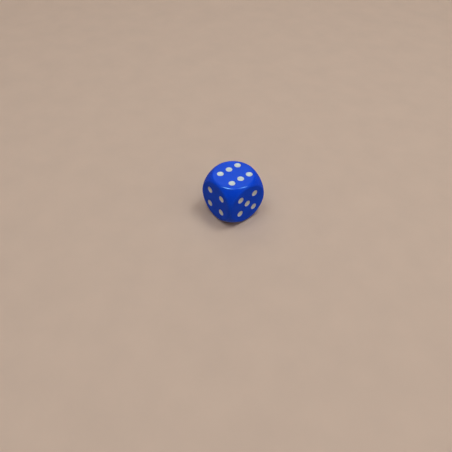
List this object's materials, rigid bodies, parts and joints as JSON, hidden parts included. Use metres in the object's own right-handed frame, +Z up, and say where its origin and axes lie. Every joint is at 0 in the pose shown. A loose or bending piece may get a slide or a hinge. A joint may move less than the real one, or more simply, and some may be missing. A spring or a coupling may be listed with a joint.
{
  "type": "gaming die",
  "caption": "Cube-shaped gaming die with ball-rounded corners, thrown to give a random number shown by painted pips sunk into its faces.",
  "frame": {"origin": "centre of the flat face that the die rests on, which is the face of the single pip", "axes": "+Z up through the face of six, +X out of the face of five, +Y out of the face of three"},
  "size_m": [0.016, 0.016, 0.016],
  "materials": {
    "body_plastic": "opaque royal blue moulded plastic, satin gloss from tumbling, fine handling scratches",
    "pip_paint": "off-white paint pooled in each dimple, satin, slightly dished"
  },
  "bodies": {
    "root": {"die_body": "body_plastic", "pip_one_centre": "pip_paint", "pip_two_upper_right": "pip_paint", "pip_two_lower_left": "pip_paint", "pip_three_upper_left": "pip_paint", "pip_three_centre": "pip_paint", "pip_three_lower_right": "pip_paint", "pip_four_upper_left": "pip_paint", "pip_four_upper_right": "pip_paint", "pip_four_lower_left": "pip_paint", "pip_four_lower_right": "pip_paint", "pip_five_upper_left": "pip_paint", "pip_five_upper_right": "pip_paint", "pip_five_lower_left": "pip_paint", "pip_five_lower_right": "pip_paint", "pip_five_centre": "pip_paint", "pip_six_upper_left": "pip_paint", "pip_six_upper_right": "pip_paint", "pip_six_middle_left": "pip_paint", "pip_six_middle_right": "pip_paint", "pip_six_lower_left": "pip_paint", "pip_six_lower_right": "pip_paint"}
  },
  "joints": []
}
